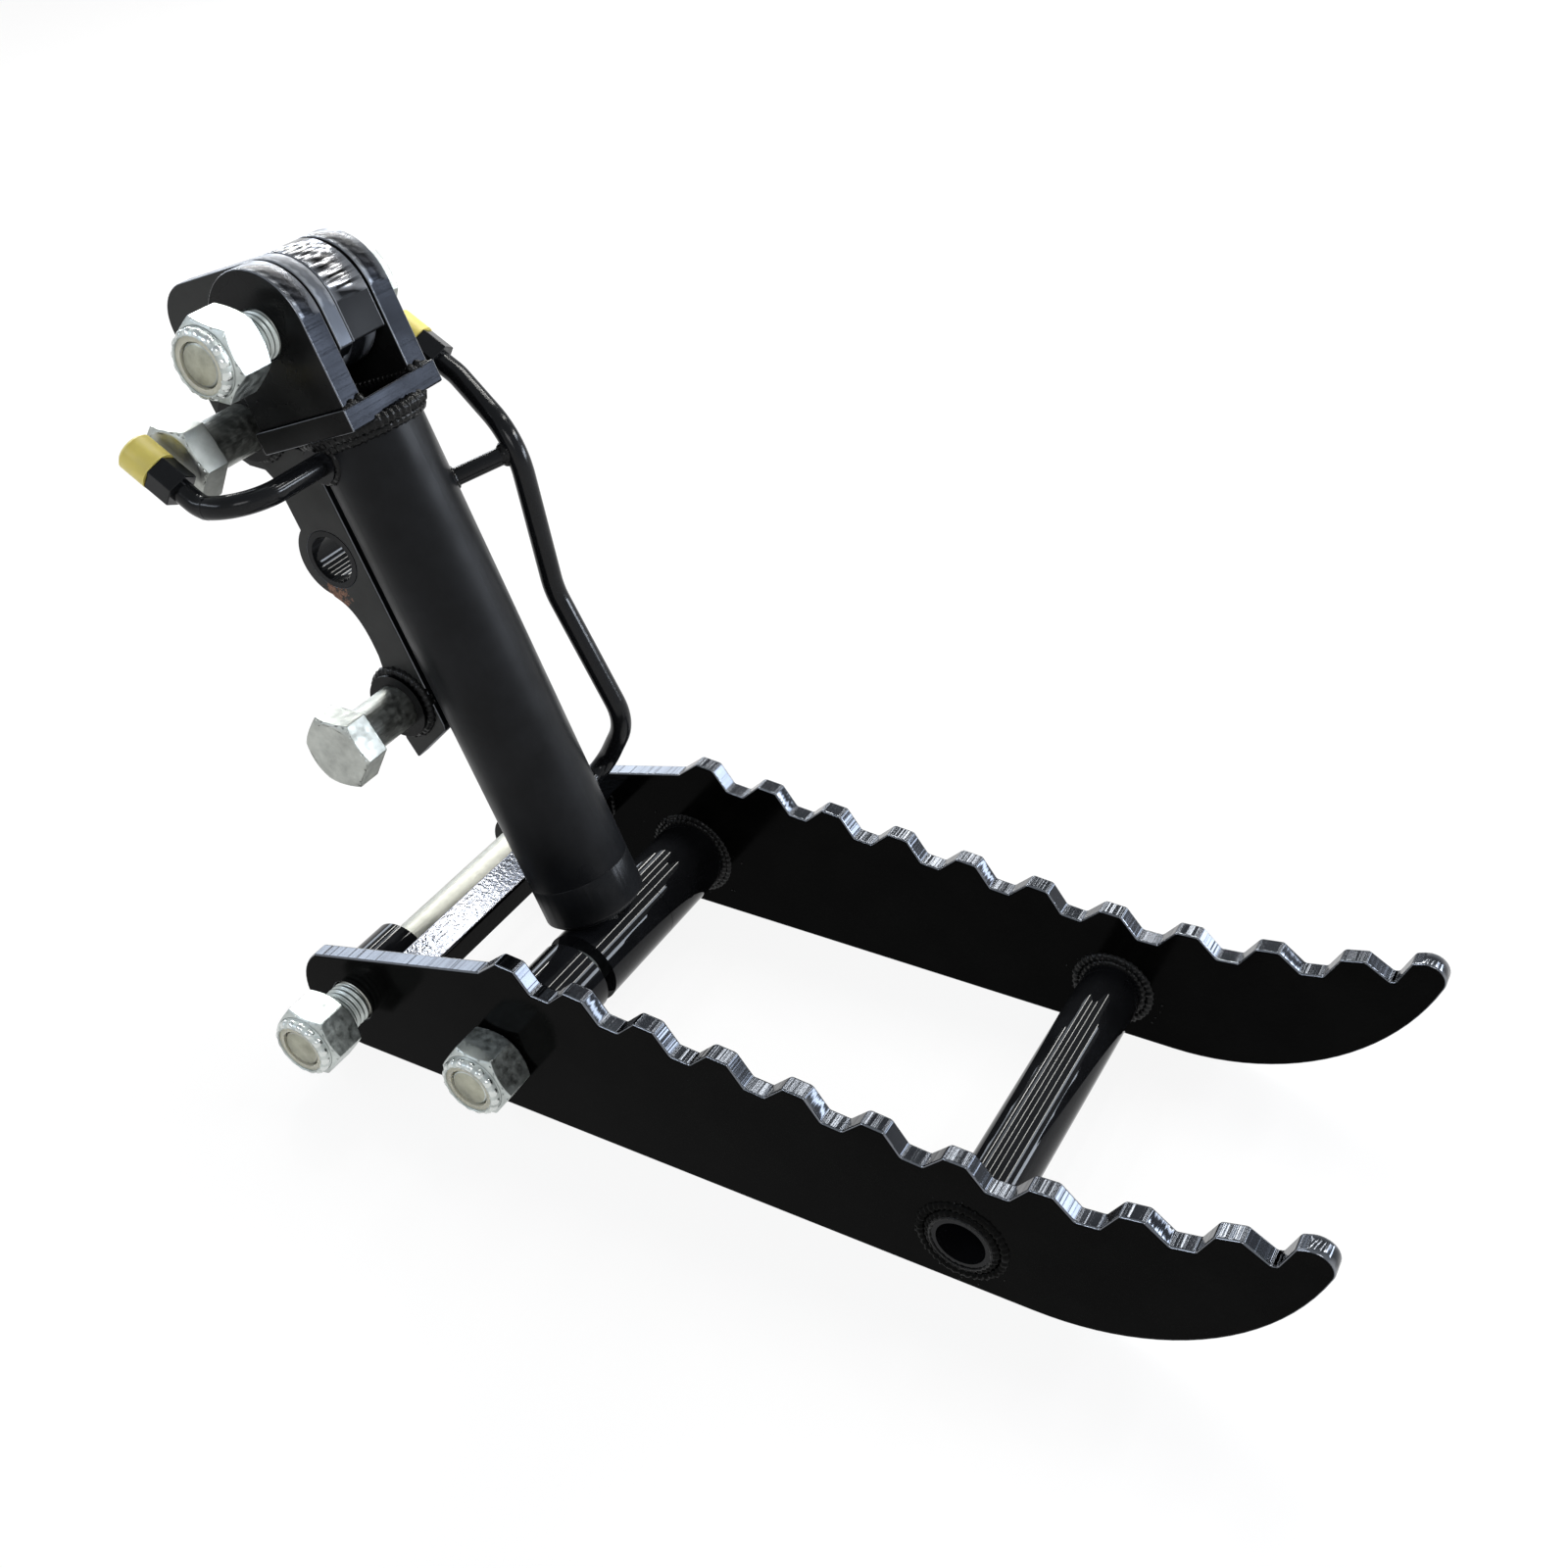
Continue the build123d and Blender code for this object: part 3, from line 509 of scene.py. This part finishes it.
# Weld beads: sides round a bead, metres between its rings and between its ripples, and how uneven it is
BEAD_SIDES = 8
BEAD_STEP = 0.0009
RIPPLE = 0.0032
RIPPLE_SWELL = 0.16
UNEVEN_SWELL = 0.12
SKIN_ROUGHNESS = 0.07
BEAD_FLATNESS = 0.8
END_SIZE = 0.35
END_GROWTH = 0.25
SPARE_DRAWS = 8
LEAST_IN_RING = 12
LEAST_IN_LINE = 3


def path_direction(path, place, closed):
    """Unit direction of a path at one of its points."""
    count = len(path)
    after = path[(place + 1) % count] if closed else path[min(place + 1, count - 1)]
    before = path[place - 1] if closed else path[max(place - 1, 0)]
    return (after - before).normalized()


def bead(name, path, out, radius, body, seed, closed=True, look=weld_paint):
    """Rippled weld bead along a path: out gives the direction away from the corner at each point."""
    rng = random.Random(seed)
    points = []
    faces = []
    run = 0.0
    count = len(path)
    wave = [rng.uniform(-1, 1) for _ in range(count + SPARE_DRAWS)]
    for place in range(count):
        away = out(path[place]).normalized()
        aside = path_direction(path, place, closed).cross(away).normalized()
        if place:
            run += (path[place] - path[place - 1]).length
        swell = 1 + RIPPLE_SWELL * math.sin(FULL_TURN * run / RIPPLE) + UNEVEN_SWELL * wave[place]
        from_end = min(place, count - 1 - place)
        end = 1.0 if closed else min(1.0, END_SIZE + from_end * END_GROWTH)
        for side in range(BEAD_SIDES):
            angle = FULL_TURN * side / BEAD_SIDES
            size = radius * swell * end * (1 + SKIN_ROUGHNESS * rng.uniform(-1, 1))
            way = aside * math.cos(angle) + away * math.sin(angle) * BEAD_FLATNESS
            points.append(path[place] + way * size)
    rings = count if closed else count - 1
    for ring in range(rings):
        for side in range(BEAD_SIDES):
            following = ((ring + 1) % count) * BEAD_SIDES
            beside = (side + 1) % BEAD_SIDES
            first = ring * BEAD_SIDES + side
            second = ring * BEAD_SIDES + beside
            faces.append((first, second, following + beside, following + side))
    if not closed:
        faces.append(tuple(range(BEAD_SIDES)))
        faces.append(tuple((count - 1) * BEAD_SIDES + side for side in reversed(range(BEAD_SIDES))))
    return piece(name, points, faces, look, body)


def ring_path(centre, first, second, radius):
    """Points round a circle in the plane of two directions."""
    count = max(LEAST_IN_RING, int(radius * FULL_TURN / BEAD_STEP))
    angles = [FULL_TURN * k / count for k in range(count)]
    return [centre + (first * math.cos(a) + second * math.sin(a)) * radius for a in angles]


def line_path(start, end):
    count = max(LEAST_IN_LINE, int((end - start).length / BEAD_STEP))
    return [start.lerp(end, k / count) for k in range(count + 1)]


def ring_bead(name, centre, weld, face, body, seed, first=X, second=Z, look=weld_paint):
    """Bead round a tube where it meets a face.

    weld holds the radius of the ring and that of the bead, and face is the direction that the face looks.
    """
    radius, size = weld

    def out(point):
        flat = point - centre
        flat = flat - face * flat.dot(face)
        return flat.normalized() + face
    return bead(name, ring_path(centre, first, second, radius), out, size, body, seed, look=look)


def line_bead(name, start, end, away, size, body, seed):
    return bead(name, line_path(start, end), lambda point: away, size, body, seed, closed=False)


# Drops of weld metal, in metres
LARGE_LUMP = 0.002
DROP_RADIUS = (0.0003, 0.0008)
DROP_ROUGHNESS = 0.3
DROP_CROWDING = 1.6


def lumps(name, places, body, seed, rough):
    """Rough drops of weld metal, one for each (centre, radius)."""
    rng = random.Random(seed)
    build = bmesh.new()
    for centre, radius in places:
        detail = 3 if radius > LARGE_LUMP else 1
        made = bmesh.ops.create_icosphere(build, subdivisions=detail, radius=1.0)
        for vertex in made["verts"]:
            vertex.co = centre + vertex.co * radius * (1 + rough * rng.uniform(-1, 1))
    mesh = bpy.data.meshes.new(name)
    build.to_mesh(mesh)
    build.free()
    for face in mesh.polygons:
        face.use_smooth = True
    mesh.materials.append(weld_paint)
    made = bpy.data.objects.new(name, mesh)
    scene.collection.objects.link(made)
    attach(made, body)
    return made


def spatter(name, centre, first, second, low, high, count, body, seed):
    """Weld spatter on a flat face: drops between two distances from a centre."""
    rng = random.Random(seed)
    places = []
    for _ in range(count):
        angle = rng.uniform(0, FULL_TURN)
        reach = low + (high - low) * rng.random() ** DROP_CROWDING
        place = centre + (first * math.cos(angle) + second * math.sin(angle)) * reach
        places.append((place, rng.uniform(*DROP_RADIUS)))
    return lumps(name, places, body, seed + 1, DROP_ROUGHNESS)


# Welds of the thumb: radius of the ring and of the bead, then nearest and farthest spatter and its count
SPACER_WELD = (0.0214, 0.0024)
SPACER_OUTER_WELD = (0.0240, 0.0022)
BOSS_WELD = (0.0192, 0.0018)
TIP_INNER_WELD = (0.0164, 0.0026)
TIP_OUTER_WELD = (0.0166, 0.0024)
TIP_WIDE_WELD = (0.0198, 0.0028)
TIP_FLAT_WELD = (0.0206, 0.0026)
TIP_RIM = (0.0150, 0.0008)
SPACER_SPATTER = (0.024, 0.034, 26)
TIP_SPATTER = (0.019, 0.0265, 26)
TIP_OUTER_SPATTER = (0.020, 0.0265, 20)
BAR_BEAD = 0.0017
SUNK = 0.0006

for side, sign, seed in (("right", -1, 10), ("left", 1, 40)):
    inward = Y * -sign
    outward = inward * -1
    inner = Y * sign * INSIDE
    outer = Y * sign * OUTSIDE
    inner_sunk = Y * sign * (INSIDE + SUNK)
    outer_sunk = Y * sign * (OUTSIDE - SUNK)
    tube_end = TIP_TUBE + Y * sign * TUBE_FACE
    ring_bead(side + "_spacer_weld", ROD_PIN + inner, SPACER_WELD, inward, "thumb", seed)
    ring_bead(side + "_boss_weld", HINGE + inner, BOSS_WELD, inward, "thumb", seed + 1)
    ring_bead(side + "_tip_weld_inner", TIP_TUBE + inner, TIP_INNER_WELD, inward, "thumb", seed + 2)
    ring_bead(side + "_tip_weld_outer", TIP_TUBE + outer, TIP_OUTER_WELD, outward, "thumb", seed + 3,
              look=dark_weld)
    ring_bead(side + "_spacer_outer_weld", ROD_PIN + inner_sunk, SPACER_OUTER_WELD, inward, "thumb",
              seed + 30)
    ring_bead(side + "_tip_wide_weld", TIP_TUBE + inner_sunk, TIP_WIDE_WELD, inward, "thumb", seed + 31)
    ring_bead(side + "_tip_flat_weld", TIP_TUBE + outer_sunk, TIP_FLAT_WELD, outward, "thumb", seed + 32,
              look=dark_weld)
    ring_bead(side + "_tip_rim", tube_end, TIP_RIM, outward, "thumb", seed + 33)
    spatter(side + "_spacer_spatter", ROD_PIN + inner, X, Z, *SPACER_SPATTER, "thumb", seed + 20)
    spatter(side + "_tip_spatter", TIP_TUBE + inner, X, Z, *TIP_SPATTER, "thumb", seed + 22)
    spatter(side + "_tip_outer_spatter", TIP_TUBE + outer, X, Z, *TIP_OUTER_SPATTER, "thumb", seed + 24)
    bar_low, bar_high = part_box("cross_bar")
    outline = ((bar_low.x, bar_low.z), (bar_high.x, bar_low.z),
               (bar_high.x, bar_high.z), (bar_low.x, bar_high.z))
    corners = [Vector((x, sign * INSIDE, z)) for x, z in outline]
    middle = (corners[0] + corners[2]) / 2
    # Beads along the bar's bottom, front and back, and none along its top
    for number in (0, 1, 3):
        start, end = corners[number], corners[(number + 1) % 4]
        away = ((start + end) / 2 - middle).normalized() + inward
        line_bead(f"{side}_bar_weld_{number}", start, end, away, BAR_BEAD, "thumb", seed + 4 + number)

# Welds of the cylinder and its clevis
CLEVIS_FOOT = 0.052
HEAD_WELD = (0.0285, 0.0042)
HEAD_WELD_DROP = 0.0015
FOOT_WELD = (0.0278, 0.0026)
FOOT_WELD_DROP = 0.0055
EAR_BEAD = 0.0019
EAR_FRONT_BEAD = 0.0016
BASE_PORT_WELD = (0.0094, 0.0020)
ROD_PORT_WELD = (0.0092, 0.0014)
STRUT_FOOT_WELD = (0.0046, 0.0016)
CLEVIS_SPATTER = (0.004, 0.015, 30)
CLEVIS_SIDE_SPATTER = (0.016, 0.026, 24)

barrel_head = TOP_PIN + ALONG * -CLEVIS_FOOT + Y * CYLINDER_Y + ACROSS * PIN_SETBACK
head_place = barrel_head - ALONG * HEAD_WELD_DROP
foot_place = barrel_head - ALONG * FOOT_WELD_DROP
ring_bead("barrel_head_weld", head_place, HEAD_WELD, -ALONG, "barrel", 70, ACROSS, Y)
ring_bead("barrel_foot_weld", foot_place, FOOT_WELD, -ALONG, "barrel", 69, ACROSS, Y)
ear_beads = (("right_ear_inner", RIGHT_EAR[1], 1, 72), ("left_ear_inner", LEFT_EAR[0], -1, 73),
             ("left_ear_outer", LEFT_EAR[1], 1, 74))
for name, y, way, seed in ear_beads:
    start, end = spot(-EAR_HALF, y, CLEVIS_TOP), spot(EAR_HALF, y, CLEVIS_TOP)
    line_bead(name + "_weld", start, end, Y * way + ALONG, EAR_BEAD, "barrel", seed)
for name, ear, seed in (("right_ear_front", RIGHT_EAR, 75), ("left_ear_front", LEFT_EAR, 76)):
    start, end = spot(EAR_FRONT, ear[0], CLEVIS_TOP), spot(EAR_FRONT, ear[1], CLEVIS_TOP)
    line_bead(name + "_weld", start, end, ACROSS + ALONG, EAR_FRONT_BEAD, "barrel", seed)

base_port = spot(-3, BARREL_Y - BARREL_SKIN, -63)
rod_port = spot(5, BARREL_Y + BARREL_SKIN, -274)
ring_bead("base_port_weld", base_port, BASE_PORT_WELD, -Y, "barrel", 77, ACROSS, ALONG)
ring_bead("rod_port_weld", rod_port, ROD_PORT_WELD, Y, "barrel", 78, ACROSS, ALONG)

strut_way = (ACROSS * 0.6014 + Y * 0.799).normalized()
strut_side = ALONG.cross(strut_way)
strut_foot = spot(21.2, 25.9, STRUT_HEIGHT)
strut_end = spot(36.7, 46.4, STRUT_HEIGHT)
strut_tip = strut_end + strut_way * 0.002
strut_weld = [(strut_end + strut_way * 0.0012, 0.0052), (strut_tip + ALONG * 0.003, 0.0034),
              (strut_tip - ALONG * 0.003, 0.0034)]
lumps("strut_weld", strut_weld, "barrel", 80, 0.07)
ring_bead("strut_foot_weld", strut_foot, STRUT_FOOT_WELD, strut_way, "barrel", 81, ALONG, strut_side)

clevis_top = spot(0, BARREL_Y, CLEVIS_TOP)
ear_side = spot(0, RIGHT_EAR[0], -30)
corner_weld = [(spot(29.6, -14.5, -40.4), 0.0026), (spot(29.8, -20, -40.6), 0.0022),
               (spot(29.6, 22, -40.4), 0.0024), (spot(29.8, 27, -40.6), 0.0026)]
spatter("clevis_spatter", clevis_top, ACROSS, Y, *CLEVIS_SPATTER, "barrel", 82)
spatter("clevis_side_spatter", ear_side, ACROSS, ALONG, *CLEVIS_SIDE_SPATTER, "barrel", 84)
lumps("clevis_corner_weld", corner_weld, "barrel", 86, 0.12)

# Welds of the stick bracket, on its near and its far face
RING_WELD = (0.0178, 0.0026)
LOWER_RING_WELD = (0.0178, 0.0030)
MID_BORE_WELD = (0.0158, 0.0018)

ring_bead("upper_ring_weld", bracket_spot(UPPER_BOLT, BRACKET_NEAR), RING_WELD, -Y, "bracket", 90)
ring_bead("lower_ring_weld", bracket_spot(LOWER_BOLT, BRACKET_NEAR), LOWER_RING_WELD, -Y, "bracket", 91)
ring_bead("upper_nut_weld", bracket_spot(UPPER_BOLT, BRACKET_FAR), RING_WELD, Y, "bracket", 92)
ring_bead("lower_nut_weld", bracket_spot(LOWER_BOLT, BRACKET_FAR), RING_WELD, Y, "bracket", 93)
ring_bead("mid_bore_weld", bracket_spot(MID_BORE, BRACKET_FAR), MID_BORE_WELD, Y, "bracket", 94)


# Threads: sizes in metres, points round and rows in a turn, and the shape of the ridge
THREAD_PITCH = 0.003
THREAD_CORE = 0.0107
THREAD_CREST = 0.01195
THREAD_SIDES = 40
THREAD_ROWS = 8
RIDGE_SHARE = 0.8
CREST_CUT = 1.25


def thread(name, low, high, place, body):
    """Helical thread along Y on a bolt's core, as one ridged sleeve."""
    rows = int((high - low) / THREAD_PITCH * THREAD_ROWS)
    points = []
    faces = []
    for row in range(rows + 1):
        y = low + (high - low) * row / rows
        for k in range(THREAD_SIDES):
            angle = FULL_TURN * k / THREAD_SIDES
            phase = (y / THREAD_PITCH + k / THREAD_SIDES) % 1.0
            height = max(0.0, 1 - abs(phase - 0.5) * 2 / RIDGE_SHARE)
            radius = THREAD_CORE + (THREAD_CREST - THREAD_CORE) * min(1.0, height * CREST_CUT)
            points.append(around_y(place, radius, angle, y))
    for row in range(rows):
        for k in range(THREAD_SIDES):
            a = row * THREAD_SIDES + k
            b = row * THREAD_SIDES + (k + 1) % THREAD_SIDES
            faces.append((a, b, b + THREAD_SIDES, a + THREAD_SIDES))
    return piece(name, points, faces, bright_zinc, body)


thread("top_pin_thread", -0.0384, -0.0255, TOP_PIN, "barrel")
thread("hinge_thread", -0.1112, -0.096, HINGE, "thumb")


# Crimped collars of the lock nuts, as radius and distance from the nut's bearing face
COLLAR_PROFILE = [(0.0158, 0.0206), (0.0168, 0.0216), (0.0167, 0.0234), (0.0158, 0.0248), (0.0143, 0.0254)]
CRIMPS = 16
CRIMP_SIDES = 6
CRIMP_DEPTH = 0.0010
HINGE_NUT_FACE = -0.111
ROD_NUT_FACE = -0.097
TOP_NUT_FACE = -0.0382


def collar(name, place, nut_face, body):
    """Ring of crimps round a lock nut's collar, on the side towards -Y of the nut's bearing face."""
    around = CRIMPS * CRIMP_SIDES
    points = []
    faces = []
    for radius, depth in COLLAR_PROFILE:
        for k in range(around):
            angle = FULL_TURN * k / around
            phase = (k % CRIMP_SIDES) / CRIMP_SIDES
            dent = CRIMP_DEPTH * abs(math.cos(math.pi * phase)) ** 3
            points.append(around_y(place, radius - dent, angle, nut_face - depth))
    for row in range(len(COLLAR_PROFILE) - 1):
        for k in range(around):
            a = row * around + k
            b = row * around + (k + 1) % around
            faces.append((a, b, b + around, a + around))
    return piece(name, points, faces, crimp_zinc, body)


collar("hinge_nut_collar", HINGE, HINGE_NUT_FACE, "thumb")
collar("rod_pin_nut_collar", ROD_PIN, ROD_NUT_FACE, "thumb")
collar("top_pin_nut_collar", TOP_PIN, TOP_NUT_FACE, "barrel")


# Bolt ends inside the nuts, duller than the nuts, as radius and distance from the end
END_RINGS = ((0.0090, 0.0), (0.0094, 0.0004))
END_SIDES = 48


def bolt_end(name, place, y, body):
    points = [Vector((place.x, y, place.z))]
    for radius, depth in END_RINGS:
        for k in range(END_SIDES):
            points.append(around_y(place, radius, FULL_TURN * k / END_SIDES, y + depth))
    faces = []
    for k in range(END_SIDES):
        faces.append((0, 1 + k, 1 + (k + 1) % END_SIDES))
    for k in range(END_SIDES):
        beside = (k + 1) % END_SIDES
        faces.append((1 + k, 1 + beside, 1 + END_SIDES + beside, 1 + END_SIDES + k))
    return piece(name, points, faces, end_zinc, body)


bolt_end("hinge_bolt_end", HINGE, -0.1352, "thumb")
bolt_end("rod_pin_bolt_end", ROD_PIN, -0.1212, "thumb")
bolt_end("top_pin_bolt_end", TOP_PIN, -0.0624, "barrel")


# Floor and world
FLOOR_HALF = 12.0
FLOOR_DROP = 0.0002
FLOOR_TONE = (0.86, 0.86, 0.86, 1)
FLOOR_GLOW = 0.9
WHITE = (1, 1, 1, 1)
SKY = [(0.0, (1, 1, 1)), (0.12, (1, 1, 1)), (0.35, (0.62, 0.65, 0.68)), (1.0, (0.42, 0.45, 0.48))]
SKY_LOW = -0.1
FILL_TONE = (0.95, 0.97, 1.0, 1)
FILL_STRENGTH = 0.30


def lone_plane(name, half, z):
    mesh = bpy.data.meshes.new(name)
    points = [(-half, -half, z), (half, -half, z), (half, half, z), (-half, half, z)]
    mesh.from_pydata(points, [], [(0, 1, 2, 3)])
    made = bpy.data.objects.new(name, mesh)
    scene.collection.objects.link(made)
    return made


def background_ray(tree):
    """One for rays that see the backdrop: the camera's and those through gloss and glass."""
    path = tree.nodes.new("ShaderNodeLightPath")
    seen = maths(tree, "MAXIMUM", path.outputs["Is Camera Ray"], path.outputs["Is Glossy Ray"])
    return maths(tree, "MAXIMUM", seen, path.outputs["Is Transmission Ray"])


floor = lone_plane("floor", FLOOR_HALF, cad_box[0].z - FLOOR_DROP)
floor_look = bpy.data.materials.new("pale_floor")
floor_look.use_nodes = True
tree = floor_look.node_tree
tree.nodes.clear()
out = tree.nodes.new("ShaderNodeOutputMaterial")
pale = node(tree, "ShaderNodeBsdfDiffuse", Color=FLOOR_TONE)
glow = node(tree, "ShaderNodeEmission", Color=WHITE, Strength=1.0)
blend = tree.nodes.new("ShaderNodeMixShader")
tree.links.new(maths(tree, "MULTIPLY", background_ray(tree), FLOOR_GLOW), blend.inputs["Fac"])
tree.links.new(pale.outputs[0], blend.inputs[1])
tree.links.new(glow.outputs[0], blend.inputs[2])
tree.links.new(blend.outputs[0], out.inputs["Surface"])
floor.data.materials.append(floor_look)

world = bpy.data.worlds.new("studio")
scene.world = world
world.use_nodes = True
tree = world.node_tree
tree.nodes.clear()
out = tree.nodes.new("ShaderNodeOutputWorld")
split = tree.nodes.new("ShaderNodeSeparateXYZ")
tree.links.new(tree.nodes.new("ShaderNodeTexCoord").outputs["Generated"], split.inputs["Vector"])
sky = ramp(tree, spread(tree, split.outputs["Z"], SKY_LOW, 1.0), SKY)
seen = tree.nodes.new("ShaderNodeBackground")
tree.links.new(sky, seen.inputs["Color"])
fill = node(tree, "ShaderNodeBackground", Color=FILL_TONE, Strength=FILL_STRENGTH)
blend = tree.nodes.new("ShaderNodeMixShader")
tree.links.new(background_ray(tree), blend.inputs["Fac"])
tree.links.new(fill.outputs[0], blend.inputs[1])
tree.links.new(seen.outputs[0], blend.inputs[2])
tree.links.new(blend.outputs[0], out.inputs["Surface"])

# Lamps, in metres and watts
AIM = Vector((0.2, 0, 0.1))
STRIP_REACH = 2.2
STRIP_BACK = 1.8
STRIP_LENGTH = 2.0
WINDOW = (0.80, 0.88, 1.0)
LAMP = (1.0, 0.99, 0.95)
TUBE_LEANS = (-56, -37, -17, 2, 24, 46)


def lamp(name, place, size, power, colour=(1, 1, 1)):
    """Rectangular lamp that shines at the object."""
    data = bpy.data.lights.new(name, "AREA")
    data.shape = "RECTANGLE"
    data.size, data.size_y = size
    data.energy = power
    data.color = colour
    made = bpy.data.objects.new(name, data)
    scene.collection.objects.link(made)
    made.location = place
    made.rotation_mode = "QUATERNION"
    made.rotation_quaternion = (AIM - Vector(place)).to_track_quat("-Z", "Y")
    return made


def strip(name, lean, width, radiance, colour, back=STRIP_BACK, length=STRIP_LENGTH):
    """Long lamp parallel to Y, behind and above, that the tubes mirror as a line: lean is from upright."""
    away = Vector((math.sin(math.radians(lean)), 0, math.cos(math.radians(lean))))
    power = math.pi * length * width * radiance
    made = lamp(name, AIM + away * STRIP_REACH + Y * back, (length, width), power, colour)
    made.rotation_quaternion = Matrix((Y, away.cross(Y), away)).transposed().to_quaternion()


for number, lean in enumerate(TUBE_LEANS):
    strip(f"tube_strip_{number}", lean, width=0.07, radiance=45, colour=LAMP)
strip("back_panel", -75, width=0.36, radiance=7.5, colour=WINDOW)
strip("bar_panel", -43, width=0.22, radiance=4.5, colour=WINDOW)
strip("bar_lamp", -43, width=0.30, radiance=60, colour=LAMP, back=1.36, length=0.20)
strip("bend_strip", 50, width=0.20, radiance=16, colour=WINDOW)
strip("window", 72, width=0.36, radiance=24, colour=WINDOW)
lamp("rim_lamp", (-1.1, -1.5, 1.5), size=(1.6, 0.25), power=12, colour=WINDOW)
lamp("front_soft", (1.2, -1.8, 1.6), size=(1.0, 0.6), power=9)

scene.view_settings.view_transform = "Standard"
